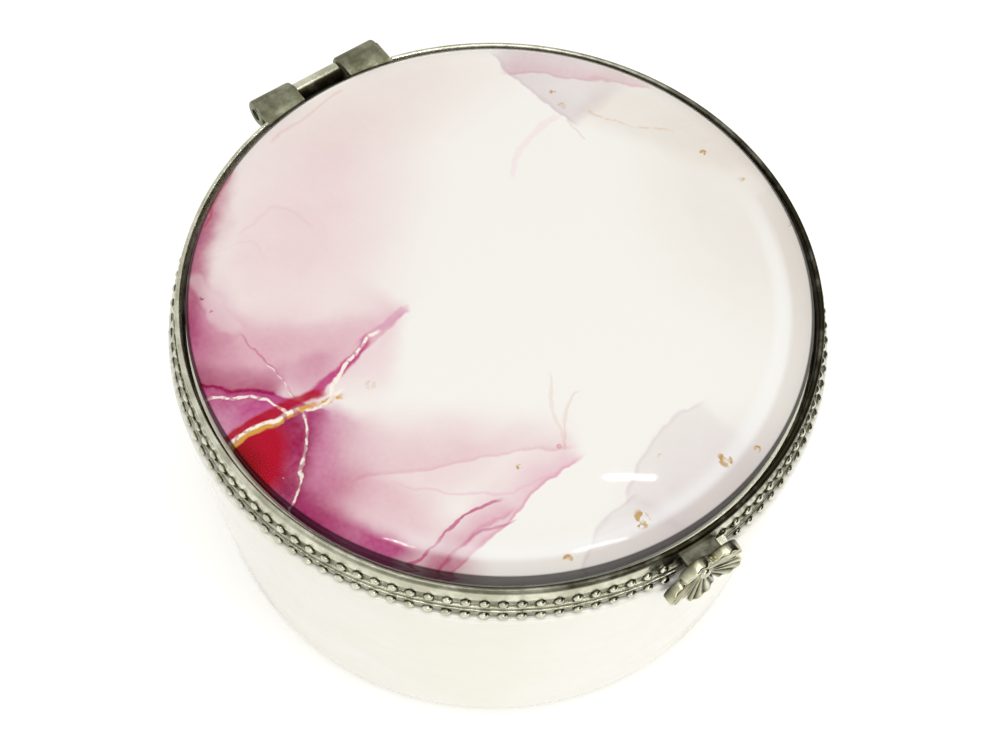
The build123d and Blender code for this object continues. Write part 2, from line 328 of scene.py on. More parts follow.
def agedNickel(name, **changes):
    # polished nickel plate that has aged: olive grey, clouded, with fine wear marks and dark hollows. A mesh
    # attribute darkens it, 0 on rubbed places and 1 at the darkest: tarnish deep in the relief, and painted
    # shade and painted dark reflections where pieces set them
    s = dict(nickelLook, **changes)
    material, tree, place = newMaterial(name)
    clouds = add(tree, "TexNoise", {"Vector": place, "Scale": 1 / s["cloudSize"], "Detail": 4.0,
                                    "Roughness": 0.6})
    share = add(tree, "MapRange", {0: clouds, 1: 0.35, 2: 0.65}, **smooth)
    colour = add(tree, "Mix", {0: share, 6: linear(s["dull"]), 7: linear(s["bright"])}, **rgba)
    uneven = add(tree, "MapRange", {0: clouds, 1: 0.3, 2: 0.7, 3: 1.15, 4: 0.85})
    darkening = add(tree, "Attribute", out="Fac", attribute_name="tarnishAndShade")
    darkening = add(tree, "Math", {0: darkening, 1: uneven}, **times, use_clamp=True)
    colour = add(tree, "Mix", {0: darkening, 6: colour, 7: linear(s["tarnishAndShade"])}, **rgba)
    grain = add(tree, "VectorMath", {0: place, 1: (1, 1, 5)}, **times)
    wear = add(tree, "TexNoise", {"Vector": grain, "Scale": 1 / s["scratchSize"], "Detail": 3.0})
    gloss = add(tree, "MapRange", {0: wear, 1: 0.3, 2: 0.7, 3: s["rough"] * 0.75, 4: s["rough"] * 1.35})
    gloss = add(tree, "Math", {0: darkening, 1: 0.2, 2: gloss}, **timesPlus)
    relief = add(tree, "Bump", {"Height": clouds, "Strength": s["dents"], "Distance": 0.0002})
    relief = add(tree, "Bump", {"Height": wear, "Strength": 0.12, "Distance": 0.00004, "Normal": relief})
    shader = add(tree, "BsdfPrincipled", {"Base Color": colour, "Metallic": 1.0, "Roughness": gloss,
                                          "Normal": relief})
    add(tree, "OutputMaterial", {0: shader})
    return material


glassLook = {
    "tint": "#fbfdfc",
    "sheen": "#505050",  # a weaker reflection than bare glass gives, as the print shows through unveiled
    "waveSize": 9.0,  # mm, the slight unevenness left by fire polishing
    "cement": 0.06,  # mm above the print where the glass begins to bend light
    "edgeShade": (0.42, 0.28),  # mm in from its edge where the painted shade of the dark gap round the glass begins, and where it hides all
}


def clearGlass(s):
    # pressed and fire polished glass: clear, with a sharp gloss. Lamps shine straight through to the print.
    # its flat underside is glued to the print with clear cement, so nothing bends or reflects there
    material, tree, place = newMaterial("polishedGlass")
    waves = add(tree, "TexNoise", {"Vector": place, "Scale": 1 / s["waveSize"], "Detail": 1.0})
    relief = add(tree, "Bump", {"Height": waves, "Strength": 0.05, "Distance": 0.0003})
    across = add(tree, "VectorMath", {0: place, 1: (1, 1, 0)}, **times)
    radius = add(tree, "VectorMath", {0: across}, out="Value", operation="LENGTH")
    # painted shade: the glass's colour darkens to black near its edge, for the dark gap round it
    start, whole = (reach["glass"] - inset for inset in s["edgeShade"])
    dark = add(tree, "MapRange", {0: radius, 1: start, 2: whole, 3: 0.0, 4: 0.97})
    tint = add(tree, "Mix", {0: dark, 6: linear(s["tint"]), 7: (0, 0, 0, 1)}, **rgba)
    glass = add(tree, "BsdfPrincipled", {
        "Base Color": tint, "Roughness": 0.02, "IOR": 1.5, "Transmission Weight": 1.0,
        "Specular Tint": linear(s["sheen"]), "Normal": relief})
    clear = add(tree, "BsdfTransparent", {"Color": (1, 1, 1, 1)})
    height = add(tree, "SeparateXYZ", {0: place}, out="Z")
    glued = add(tree, "Math", {0: height, 1: level["printTop"] + s["cement"]}, operation="LESS_THAN")
    passes = anyRay(tree, glued, "Is Shadow Ray", "Is Diffuse Ray")
    add(tree, "OutputMaterial", {0: add(tree, "MixShader", {0: passes, 1: glass, 2: clear})})
    return material


# everything on the card is placed in mm from its middle, with +x to the right of the photo and +y away
cardLook = {
    "turn": 39.6,  # degrees that the card is turned from the hinge's own axis
    "paper": "#f7f3ec",
    "sway": 9.0,  # mm between the slow bends of a line of ink, and how far they reach from side to side
    "swayReach": 3.4,
    "shake": 2.0,  # and the same for the small ones
    "shakeReach": 1.1,
    "granule": 0.45,  # mm across a grain of settled pigment, and from one thin place to the next
    "thinning": 4.0,
    "patch": 0.7,  # mm across a worn place in a pale or golden vein
    "shard": 0.36,  # mm across a shard of gold leaf
    # the next settings paint a ring of light and the shade beyond it into the card's colour
    "paintedRimLight": (25.6, 26.6),  # mm from the middle: the bent glass lights a ring that starts here,
    "rimEnd": (27.7, 26.9),  # and ends here
    "paintedRimShade": "#f3f0ef",  # painted shade: what lies beyond it is darker
    "rimSide": (0.75, -0.66),  # the side of the card where that shows most
    "rimSpan": (5.0, 18.0),  # mm towards that side where it starts to show, and where it shows in full
}

inks = {
    "blush": "#f2e2e1",
    "petal": "#f2d6e0",
    "rose": "#e8afc8",
    "mauve": "#d98abb",
    "magenta": "#cd5fa0",
    "raspberry": "#bf3379",
    "crimson": "#b40c2a",
    "garnet": "#8a0810",
    "lilac": "#e5dce3",
    "stone": "#f0eae6",
    "leaf": "#bd8c14",
    "gold": "#d9a046",
    "cream": "#fdf3e6",
    "rust": "#d9aa97",
}


def named(keys, rows):
    # a table whose every row becomes a dictionary of settings
    return [dict(zip(keys, row)) for row in rows]


# soft pools: an oval at a place, its two reaches and its turn, whole as far as core and gone at its edge
pools = named(("at", "reach", "turn", "core", "ink", "strength"), (
    ((-20, 5), (15, 23), -14, 0.1, "petal", 0.75),
    ((-13, 22), (19, 10), 35, 0.1, "blush", 0.55),
    ((-24, -9), (13, 7), 10, 0.1, "rose", 0.6),
    ((-30, -8), (7, 11), 0, 0.15, "magenta", 0.95),
    ((-31, 3), (3.4, 9), -9, 0.3, "magenta", 0.7),
    ((-18.1, -18.8), (2.3, 6.6), 4, 0.4, "raspberry", 1.0),
    ((-3.6, -28.8), (5.0, 4.4), 20, 0.1, "raspberry", 0.6),
    ((-9, -19), (17, 7), 12, 0.3, "petal", 0.7),
    ((-9.5, -24.8), (10, 5), -20, 0.4, "petal", 0.95),
    ((24, 12), (15, 20), 20, 0.2, "stone", 0.5),
    ((22, -21), (13, 11), 40, 0.3, "lilac", 0.5),
))

# the crimson pool, in two coats, and the straight line that it stops at
coats = named(("at", "reach", "turn", "core", "ink"), (
    ((-21.9, -18.9), (4.6, 6.4), 10, 0.66, "crimson"),
    ((-22.8, -20.0), (3.6, 4.8), 30, 0.3, "garnet"),
))
coatEnd = {"start": (-12.0, -12.2), "end": (-28.0, -20.4), "bow": 0.0}

# sheets of ink: the crisp edge bows from start to end with the ink on its left, fading out over reach.
# dry is how strongly pigment gathers in the line where the edge dried
sheets = named(("start", "end", "bow", "crisp", "reach", "ink", "strength", "dry"), (
    ((-8.5, -1.6), (-29.4, -2.4), 3.8, 3.0, 12.0, "rose", 0.4, 0.1),
    ((-14.5, -8.0), (-30.0, -9.0), 1.6, 1.6, 7.0, "mauve", 0.35, 0.0),
    ((-16.8, -14.6), (-8.4, -2.0), 0.35, 0.35, 7.0, "rose", 0.4, 0.25),
    ((-30.5, -11.9), (-19.0, -13.6), 0.4, 0.3, 3.4, "raspberry", 0.7, 0.45),
    ((-14.4, -15.0), (-33.0, -11.6), -0.9, 0.3, 13.0, "magenta", 0.95, 0.1),
    ((-17.0, -13.2), (-18.2, -29.0), 0.7, 0.5, 8.5, "magenta", 0.8, 0.1),
    ((-27.9, -9.0), (-26.4, 15.0), 0.5, 2.2, 4.0, "raspberry", 0.7, 0.0),
    ((-5.2, -26.6), (-20.0, -19.6), 0.9, 2.2, 20.0, "magenta", 0.95, 0.0),
    ((-3.8, -30.4), (8.8, -16.6), 0.5, 0.25, 4.5, "rose", 0.6, 0.35),
    ((-5.2, -30.5), (2.6, -22.2), 0.6, 0.3, 2.6, "rose", 0.4, 0.35),
    ((-13.0, -22.2), (8.2, -16.2), 0.9, 0.3, 5.0, "petal", 0.45, 0.35),
    ((19.4, -10.6), (12.4, -21.4), -1.9, 0.3, 12.0, "lilac", 0.35, 0.3),
    ((13.6, -19.6), (7.6, -30.4), -0.9, 0.3, 14.0, "lilac", 0.35, 0.3),
    ((-3.4, 29.9), (6.8, 20.2), -0.3, 0.3, 13.0, "lilac", 0.75, 0.45),
    ((4.8, 21.8), (30.0, 12.0), 1.0, 3.0, 13.0, "stone", 0.6, 0.0),
    ((-2.2, 27.2), (15.0, 26.0), 0.2, 0.3, 3.5, "petal", 0.7, 0.45),
))

# veins of ink: each bows from start to end, as wide as width
veins = named(("start", "end", "bow", "width", "ink", "strength"), (
    ((-26.4, 4.4), (-18.4, 5.2), 3.0, 0.3, "rose", 0.2),
    ((-27.4, 2.2), (-22.2, 1.2), 2.6, 0.25, "rose", 0.15),
    ((-29.2, 5.0), (-26.6, 12.4), 0.2, 0.2, "crimson", 0.5),
    ((-29.6, -0.2), (-24.2, -6.4), -0.3, 1.1, "blush", 0.35),
    ((-24.6, -6.0), (-17.8, -14.0), 0.3, 0.14, "raspberry", 0.5),
    ((-21.5, -9.5), (-18.2, -13.6), 0.2, 0.12, "cream", 0.6),
    ((-17.8, -14.0), (-12.4, -6.0), -0.55, 0.62, "raspberry", 0.9),
    ((-13.6, -7.6), (-8.6, -2.2), 0.3, 0.5, "magenta", 0.4),
    ((-25.2, -18.6), (-15.4, -12.2), 0.05, 0.75, "crimson", 0.95),
    ((-25.2, -19.2), (-13.4, -12.6), 0.1, 0.42, "gold", 1.0),
    ((-23.2, -17.5), (-17.4, -14.7), 0.1, 0.26, "cream", 1.0),
    ((-17.2, -15.0), (-13.8, -11.8), -0.3, 0.24, "cream", 0.9),
    ((-15.2, -14.0), (-11.4, -4.8), 0.75, 0.25, "cream", 0.95),
    ((-27.8, -13.9), (-18.2, -15.4), 1.5, 0.17, "cream", 0.9),
    ((-17.3, -14.6), (-17.7, -25.4), 0.75, 0.17, "cream", 0.85),
    ((-7.6, -29.4), (1.2, -21.4), 0.6, 0.2, "raspberry", 0.75),
    ((-4.8, -29.4), (2.6, -23.4), 0.9, 0.17, "raspberry", 0.5),
    ((-9.2, -21.2), (8.2, -17.2), -2.2, 0.2, "rose", 0.35),
    ((7.8, -10.2), (6.2, -16.9), -0.7, 0.2, "rust", 0.25),
    ((4.9, -8.6), (6.3, -17.0), -0.2, 0.2, "rust", 0.2),
    ((4.6, 22.3), (0.6, 13.0), -1.1, 0.5, "petal", 0.35),
    ((5.0, 21.6), (7.6, 18.4), 0.1, 0.14, "rust", 0.3),
    ((-17.4, 23.2), (-23.6, 14.8), -0.2, 0.35, "rust", 0.28),
    ((6.6, 22.5), (16.4, 21.0), -0.3, 0.2, "gold", 0.3),
))

# flecks of gold leaf and drops of ink
flecks = named(("at", "size", "ink", "strength"), (
    ((13.5, -22.7), 0.85, "leaf", 0.85),
    ((20.9, -16.4), 0.7, "leaf", 0.85),
    ((23.8, -14.9), 0.4, "leaf", 0.85),
    ((7.2, -26.7), 0.5, "leaf", 0.85),
    ((2.6, -18.6), 0.32, "leaf", 0.85),
    ((15.2, -16.6), 0.28, "leaf", 0.55),
    ((-11.4, -11.3), 0.6, "leaf", 0.25),
    ((6.1, -16.3), 0.3, "raspberry", 0.8),
    ((3.9, 24.5), 0.4, "leaf", 0.85),
    ((4.9, 22.8), 0.5, "leaf", 0.55),
    ((19.4, 18.0), 0.42, "leaf", 0.85),
    ((23.0, 14.8), 0.3, "leaf", 0.55),
    ((27.6, 10.0), 0.32, "leaf", 0.55),
    ((-27.8, -3.0), 0.3, "garnet", 0.8),
    ((-26.7, -4.5), 0.2, "raspberry", 0.8),
    ((-17.9, -20.9), 0.16, "cream", 0.8),
))


def bowedLine(tree, place, line):
    # along runs from -1 at the start to 1 at the end: along = (place - top of the bow) . way / (length / 2).
    # aside = (place - top of the bow) . left + bow * along * along: 0 on the line and more to its left.
    # gives along squared, and aside
    start, end = np.array(line["start"]), np.array(line["end"])
    length = np.linalg.norm(end - start)
    way = (end - start) / length
    left = np.array((-way[1], way[0]))
    peak = (start + end) / 2 + left * line["bow"]
    fromPeak = add(tree, "VectorMath", {0: place, 1: (*peak, 0)}, operation="SUBTRACT")
    along = add(tree, "VectorMath", {0: fromPeak, 1: (*(way * 2 / length), 0)}, operation="DOT_PRODUCT")
    across = add(tree, "VectorMath", {0: fromPeak, 1: (*left, 0)}, operation="DOT_PRODUCT")
    squared = add(tree, "Math", {0: along, 1: along}, **times)
    return squared, add(tree, "Math", {0: squared, 1: line["bow"], 2: across}, **timesPlus)


def ovalReach(tree, place, oval):
    # how far a place lies from an oval's middle: 0 there and 1 on its edge
    moved = add(tree, "Mapping", {0: place, 1: (*oval["at"], 0), 2: (0, 0, radians(oval["turn"])),
                                  3: (*oval["reach"], 1)}, vector_type="TEXTURE")
    return add(tree, "VectorMath", {0: moved}, operation="LENGTH")


def inked(tree, under, share, load, ink, **settings):
    # ink over what lies under it, as strong as its share and its load together
    share = add(tree, "Math", {0: share, 1: load}, **times, use_clamp=True)
    return add(tree, "Mix", {0: share, 6: under, 7: linear(inks[ink])}, **rgba, **settings)


def printedCard(s):
    # a gloss print of marbled inks: pale paper, thin washes that dry to darker edges, veins and gold leaf
    material, tree, place = newMaterial("printedCard")
    flat = add(tree, "Mapping", {0: place, 2: (0, 0, radians(s["turn"])), 3: (1, 1, 0)})
    # every line of ink strays by as much as its reach, half to each side, in slow bends and in small ones
    flowed = flat
    for bend, detail in (("sway", 2.0), ("shake", 3.0)):
        far = s[bend + "Reach"]
        drift = add(tree, "TexNoise", {"Vector": flat, "Scale": 1 / s[bend], "Detail": detail}, out="Color")
        drift = add(tree, "VectorMath", {0: drift, 1: (0.5, 0.5, 0.5)}, operation="SUBTRACT")
        flowed = add(tree, "VectorMath", {0: drift, 1: (far, far, 0), 2: flowed}, **timesPlus)
    # pigment settles in grains, and thins out in places
    grains = add(tree, "TexNoise", {"Vector": flat, "Scale": 1 / s["granule"], "Detail": 2.0})
    thin = add(tree, "TexNoise", {"Vector": flowed, "Scale": 1 / s["thinning"], "Detail": 3.0})
    load = add(tree, "Math", {0: grains, 1: 0.5, 2: thin}, **timesPlus)
    load = add(tree, "MapRange", {0: load, 1: 0.45, 2: 1.05, 3: 0.82, 4: 1.12})
    colour = linear(s["paper"])
    for pool in pools:
        away = ovalReach(tree, flowed, pool)
        share = add(tree, "MapRange", {0: away, 1: pool["core"], 2: 1.0, 3: pool["strength"], 4: 0.0},
                    **smooth)
        colour = inked(tree, colour, share, load, pool["ink"], blend_type="MULTIPLY")
    for sheet in sheets:
        squared, aside = bowedLine(tree, flowed, sheet)
        body = add(tree, "MapRange", {0: aside, 1: sheet["crisp"], 2: sheet["reach"], 3: sheet["strength"],
                                      4: 0.0}, **smooth)
        dried = add(tree, "MapRange", {0: aside, 1: 0.1, 2: 0.5, 3: sheet["dry"], 4: 0.0}, **smooth)
        body = add(tree, "Math", {0: body, 1: load, 2: dried}, **timesPlus)
        edge = add(tree, "MapRange", {0: aside, 1: -sheet["crisp"] / 2, 2: sheet["crisp"] / 2}, **smooth)
        ends = add(tree, "MapRange", {0: squared, 1: 0.55, 2: 1.0, 3: 1.0, 4: 0.0}, **smooth)
        share = add(tree, "Math", {0: body, 1: edge}, **times)
        colour = inked(tree, colour, share, ends, sheet["ink"], blend_type="MULTIPLY")
    # the crimson pool lies below the gold vein
    aside = bowedLine(tree, flowed, coatEnd)[1]
    below = add(tree, "MapRange", {0: aside, 1: -0.1, 2: 0.25}, **smooth)
    for coat in coats:
        away = ovalReach(tree, flowed, coat)
        share = add(tree, "MapRange", {0: away, 1: coat["core"], 2: 1.0, 3: 1.0, 4: 0.0}, **smooth)
        colour = inked(tree, colour, share, below, coat["ink"])
    # the pale and golden veins are worn away in patches
    broken = add(tree, "TexNoise", {"Vector": flat, "Scale": 1 / s["patch"], "Detail": 1.0})
    broken = add(tree, "MapRange", {0: broken, 1: 0.38, 2: 0.5, 3: 0.3}, **smooth)
    for vein in veins:
        squared, aside = bowedLine(tree, flowed, vein)
        off = add(tree, "Math", {0: aside}, operation="ABSOLUTE")
        near = add(tree, "MapRange", {0: off, 1: vein["width"] * 0.4, 2: vein["width"], 3: vein["strength"],
                                      4: 0.0}, **smooth)
        ends = add(tree, "MapRange", {0: squared, 1: 0.6, 2: 1.0, 3: 1.0, 4: 0.0}, **smooth)
        share = add(tree, "Math", {0: near, 1: ends}, **times)
        worn = broken if vein["ink"] in ("cream", "gold") else load
        colour = inked(tree, colour, share, worn, vein["ink"])
    # painted light and painted shade: a pale ring is painted into the card's colour where the glass's bent
    # edge would gather light, and what lies beyond is painted darker
    radius = add(tree, "VectorMath", {0: flat}, operation="LENGTH")
    side = add(tree, "VectorMath", {0: flat, 1: (*s["rimSide"], 0)}, operation="DOT_PRODUCT")
    side = add(tree, "MapRange", {0: side, 1: s["rimSpan"][0], 2: s["rimSpan"][1]}, **smooth)
    lit = add(tree, "MapRange", {0: radius, 1: s["paintedRimLight"][0], 2: s["paintedRimLight"][1], 4: 0.4}, **smooth)
    within = add(tree, "MapRange", {0: radius, 1: s["rimEnd"][0], 2: s["rimEnd"][1]}, **smooth)
    for share in (side, within):
        lit = add(tree, "Math", {0: lit, 1: share}, **times)
    colour = add(tree, "Mix", {0: lit, 6: colour, 7: (1, 1, 1, 1)}, **rgba)
    rim = add(tree, "Math", {0: 1.0, 1: within}, operation="SUBTRACT")
    rim = add(tree, "Math", {0: rim, 1: side}, **times)
    colour = add(tree, "Mix", {0: rim, 6: colour, 7: linear(s["paintedRimShade"])}, **rgba, blend_type="MULTIPLY")
    # leaf and drops break into shards, fewer in the middle
    shards = add(tree, "TexVoronoi", {"Vector": flat, "Scale": 1 / s["shard"]}, out="Color")
    kept = add(tree, "SeparateColor", {0: shards}, out="Red")
    kept = add(tree, "MapRange", {0: kept, 1: 0.4, 2: 0.45})
    pale = add(tree, "SeparateColor", {0: shards}, out="Green")
    pale = add(tree, "MapRange", {0: pale, 1: 0.4, 2: 0.9, 4: 0.45})
    for fleck in flecks:
        away = add(tree, "VectorMath", {0: flat, 1: (*fleck["at"], 0)}, operation="DISTANCE")
        size = fleck["size"]
        near = add(tree, "MapRange", {0: away, 1: size * 0.7, 2: size, 3: fleck["strength"], 4: 0.0})
        ringed = add(tree, "MapRange", {0: away, 1: size * 0.1, 2: size * 0.4, 3: 0.3})
        for share in (kept, ringed):
            near = add(tree, "Math", {0: near, 1: share}, **times)
        tone = add(tree, "Mix", {0: pale, 6: linear(inks[fleck["ink"]]), 7: linear(inks["cream"])}, **rgba)
        colour = add(tree, "Mix", {0: near, 6: colour, 7: tone}, **rgba)
    shader = add(tree, "BsdfPrincipled", {"Base Color": colour, "Roughness": 0.4, "IOR": 1.45,
                                          "Specular IOR Level": 0.05})
    add(tree, "OutputMaterial", {0: shader})
    return material


porcelain = glazedPorcelain(porcelainLook)
nickel = agedNickel("agedNickelPlate")
plateNickel = agedNickel("satinNickelPlate", dull="#cfcdb9", cloudSize=7.0, rough=0.34, dents=0.1)
beadNickel = agedNickel("rubbedNickelBeads", cloudSize=0.8, rough=0.13, dents=0.35)
flowerNickel = agedNickel("rubbedNickelFlower", bright="#dfddc4", dull="#adab8b", rough=0.15)
hingeNickel = agedNickel("satinNickelHinge", bright="#e0e1c2", dull="#b6b794", rough=0.32, dents=0.15)
pinSteel = agedNickel("drawnSteelWire", rough=0.3, dents=0.05)
glass = clearGlass(glassLook)
card = printedCard(cardLook)
print("materials made")


bowlShape = {
    "footRadius": 30.5,
    "cornerRound": 4.0,
    "shoulder": 32.4,
    "shoulderRound": 0.45,
    "neck": 30.8,
    "neckRound": 0.2,
    "mouth": 28.3,
    "innerFoot": 27.4,
    "innerRound": 4.5,
    "floor": 3.8,
    "ringInner": 24.1,
    "recess": 0.9,
}


def makeBowl(s):
    outline = roundedOutline([
        (0, s["recess"], 0), (s["ringInner"] - s["recess"], s["recess"], 0.5), (s["ringInner"], 0, 0.3),
        (s["footRadius"], 0, s["cornerRound"]), (reach["body"], s["shoulder"], s["shoulderRound"]),
        (s["neck"], s["shoulder"], 0), (s["neck"], level["neckTop"], s["neckRound"]),
        (s["mouth"], level["neckTop"], s["neckRound"]), (s["innerFoot"], s["floor"], s["innerRound"]),
        (0, s["floor"], 0)])
    turnedPiece("bowlPorcelain", outline, 256, porcelain, "box", ["bowl"], "glazed_porcelain")


makeBowl(bowlShape)
print("bowl made")


hingeShape = {
    "length": 15.0,
    "barrel": 1.45,
    "middle": 5.3,
    "gap": 0.12,
    "leaf": 0.6,
    "window": 0.15,
    "bore": 0.65,
    "endRound": 0.28,
    "baseLeaf": 13.4,
    "clearance": 0.2,
    "footReach": 0.75,  # how far the foot of the lower leaf stands out from the bowl's ring
    "tarnish": 0.72,
    "rod": 1.05,  # the middle knuckle, which is slimmer than the outer two
    "rodBore": 0.6,
    "rodRound": 0.12,
    "rodTarnish": 0.15,  # on its outer side. Its inner side is painted black as shade
}

baseRingShape = {
    "inner": 30.85,
    "lipInner": 27.9,
    "lip": 0.35,
    "lipFoot": 32.2,
    "lipRound": 0.1,
    "flange": 0.5,
    "round": 0.12,
    "tarnish": 0.35,
}


def makeBaseRing(s):
    outer, inner, shoulder = reach["baseRing"], s["inner"], bowlShape["shoulder"]
    parting, neck = level["parting"], level["parting"] - s["flange"]
    lip, foot, lipOuter = s["lipInner"], s["lipFoot"], s["lipInner"] + s["lip"]
    outline = roundedOutline([
        (inner, shoulder, 0), (outer, shoulder, 0), (outer, parting, s["round"]),
        (lip, parting, s["lip"] * 0.95), (lip, foot, s["lipRound"]), (lipOuter, foot, s["lipRound"]),
        (lipOuter, neck, 0), (inner, neck, 0)])
    turnedPiece("bowlRing", outline, 256, nickel, "box", ["base_ring"], "aged_nickel", s["tarnish"])


makeBaseRing(baseRingShape)
print("bowl ring made")


lidRingShape = {
    "ledgeInner": 28.35,
    "bore": 30.25,
    "shoulder": 30.85,
    "skirtTop": 35.85,
    "seat": 30.8,
    "stripTop": 34.92,
    "lipRound": 0.288,
    # the next five settings place painted darkening on the metal: a painted dark reflection over the lip, and
    # painted shade down the wall beside the glass
    "lipStart": 0.06,  # mm above the skirt where the lip's painted dark reflection begins, and over how much it deepens
    "lipFade": 0.08,
    "wallFade": 0.04,
    "lipDarkReflection": (-55.0, 0.55, 0.6, 0.15),  # the darkest angle round the lid, the share a quarter turn from
    "wallShade": (255.0, 1.4, 1.9, 0.1),  # there, what is added at the darkest, and the least share
}


def darkRound(around, darkest, middle, swing, least):
    # the share of painted darkening falls off from the darkest angle as the cosine does
    return np.clip(middle + swing * np.cos(np.radians(around - darkest)), least, 1)


def makeLidRing(s, hinge):
    half = np.degrees(np.arcsin(hinge["length"] / 2 / s["bore"]))
    start, end, steps = 90 + half, 450 - half, 300
    inner, seat, bore, shoulder = s["ledgeInner"], s["seat"], s["bore"], s["shoulder"]
    parting, ledge, crown = level["parting"], level["ledge"], level["crown"]
    outline = roundedOutline([
        (inner, parting, 0), (seat, parting, 0), (seat, s["stripTop"], 0), (reach["skirt"], s["stripTop"], 0),
        (shoulder, s["skirtTop"], 0), (shoulder, crown, s["lipRound"]), (bore, crown, s["lipRound"]),
        (bore, ledge, 0), (inner, ledge, 0)])
    ring = turnedStretch(outline, start, end, steps)
    # painted shade and painted dark reflection on the metal: black down the wall beside the glass as painted
    # shade in the gap, strongest at the front by the clasp, dark over the lip as a painted dark reflection,
    # strongest towards the clasp side, and rubbed bright where the skirt begins
    around = np.linspace(start, end, steps)
    wall = unit((bore + s["wallFade"] - outline[:, :1]) / s["wallFade"])
    lip = unit((outline[:, 1:] - s["skirtTop"] - s["lipStart"]) / s["lipFade"])
    darkening = np.maximum(wall * darkRound(around, *s["wallShade"]), lip * darkRound(around, *s["lipDarkReflection"]))
    # behind the hinge leaf only the low part of the ring goes on
    low = roundedOutline([(inner, parting, 0), (seat, parting, 0), (seat, ledge, 0), (inner, ledge, 0)])
    points, faces = joined(ring, turnedStretch(low, 90 - half, 90 + half, 24))
    # painted shade: the low part of the ring behind the hinge leaf is painted black
    darkening = np.append(darkening, np.ones(len(points) - darkening.size))
    makePiece("lidRing", points, faces, nickel, "lid", ["lid_ring"], "aged_nickel", tarnishAndShade=darkening)


makeLidRing(lidRingShape, hingeShape)
print("lid ring made")


beadShape = {
    "radius": 0.49,
    "flat": 0.85,  # how far it stands out, as a share of its radius
    "count": 120,
    "around": 12,
    "rings": 6,
    "stripHalf": 0.51,
    "stripRound": 0.1,
    "stripTarnish": 0.55,
    "claspTurn": 3.0,
    "claspHalf": 1.7,
    "bowlRow": 31.5,  # the radius and height of each row, and the radius that the lid's strip sits on
    "bowlHeight": 33.0,
    "lidSeat": 30.8,
    "lidHeight": 34.41,
}


def makeBeadRow(name, s, rowRadius, seatRadius, height, body, node):
    # each bead is a squashed ball: out = flat * r * cos(u), aside = r * sin(u) * cos(v) and
    # up = r * sin(u) * sin(v). None is set at the clasp and the hinge
    hingeHalf = np.degrees(np.arcsin(hingeShape["length"] / 2 / rowRadius))
    claspHalf = np.degrees(np.arcsin((s["claspHalf"] + s["radius"]) / rowRadius))
    pitch, clasp = 360 / s["count"], -90 - s["claspTurn"]
    places = np.arange(s["count"]) * pitch
    fromHinge = np.abs((places - 90 + 180) % 360 - 180)
    fromClasp = np.abs((places - clasp + 180) % 360 - 180)
    places = np.radians(places[(fromHinge > hingeHalf + pitch / 2) & (fromClasp > claspHalf + pitch / 2)])
    u = np.linspace(0, radians(100), s["rings"])[:, None]
    v = np.linspace(0, 2 * pi, s["around"], endpoint=False)[None, :]
    out = s["flat"] * s["radius"] * np.cos(u) + 0 * v
    aside = s["radius"] * np.sin(u) * np.cos(v)
    up = s["radius"] * np.sin(u) * np.sin(v)
    turn = places[:, None, None]
    x, y = turned(rowRadius + out, aside, -turn)
    beads = np.stack((x, y, height + up + 0 * turn), -1)
    size = s["rings"] * s["around"]
    one = gridFaces(s["rings"], s["around"], False, True) + [range(size - s["around"], size)]
    # tarnish gathers round the foot of every bead, darkened further there as painted shade, and each bead's
    # lower side is darkened as painted shade
    darkening = unit((u - 1.05) / 0.35) + unit(-1.3 * np.sin(v)) * unit((u - 0.6) / 0.5)
    darkening = np.broadcast_to(unit(darkening), beads.shape[:3])
    # the thin strip that the beads are pressed from, in two runs
    low, high = height - s["stripHalf"], height + s["stripHalf"]
    strip = roundedOutline([(seatRadius, low, 0), (rowRadius, low, s["stripRound"]),
                            (rowRadius, high, s["stripRound"]), (seatRadius, high, 0)], 3)
    runs = [turnedStretch(strip, start, end, 120) for start, end in (
        (clasp + claspHalf, 90 - hingeHalf), (90 + hingeHalf, clasp + 360 - claspHalf))]
    points, faces = joined(*((bead.reshape(-1, 3), one) for bead in beads), *runs)
    darkening = np.append(darkening, np.full(len(points) - darkening.size, s["stripTarnish"]))
    makePiece(name, points, faces, beadNickel, body, [node], "aged_nickel", 60.0, darkening)


makeBeadRow("bowlBeads", beadShape, beadShape["bowlRow"], reach["baseRing"], beadShape["bowlHeight"], "box",
            "base_beading")
makeBeadRow("lidBeads", beadShape, reach["skirt"], beadShape["lidSeat"], beadShape["lidHeight"], "lid",
            "lid_beading")
print("beads made")


stackShape = {
    "edge": 36.75,
    "bevel": 3.1,
    "bevelRound": 3.0,
    "rimRound": 0.35,
    "footRound": 0.08,
    "lift": 0.03,  # the glass lies this far above the card, so that no two faces share a place
    "cardThickness": 0.2,
    "plate": 30.0,
    "plateRound": 0.1,
}


def discOutline(radius, low, high, roundness=0):
    return roundedOutline([(0, low, 0), (radius, low, roundness), (radius, high, 0), (0, high, 0)])


def makeLidStack(s):
    # from above: the glass, the card and the plate
    cardTop, cardFoot = level["printTop"], level["printTop"] - s["cardThickness"]
    low, high, radius = cardTop + s["lift"], level["glassTop"], reach["glass"]
    outline = roundedOutline([
        (0, low, 0), (radius, low, s["footRound"]), (radius, s["edge"], s["rimRound"]),
        (radius - s["bevel"], high, s["bevelRound"]), (0, high, 0)], 14)
    turnedPiece("glassCabochon", outline, 320, glass, "lid", ["glass_top"], "clear_glass")
    sheet = discOutline(reach["print"], cardFoot, cardTop)
    turnedPiece("printedDisc", sheet, 200, card, "lid", ["print_disc"], "printed_card")
    plate = discOutline(s["plate"], level["ledge"], cardFoot, s["plateRound"])
    turnedPiece("lidPlate", plate, 200, plateNickel, "lid", ["lid_plate"], "lid_plate_nickel")


makeLidStack(stackShape)
print("glass made")


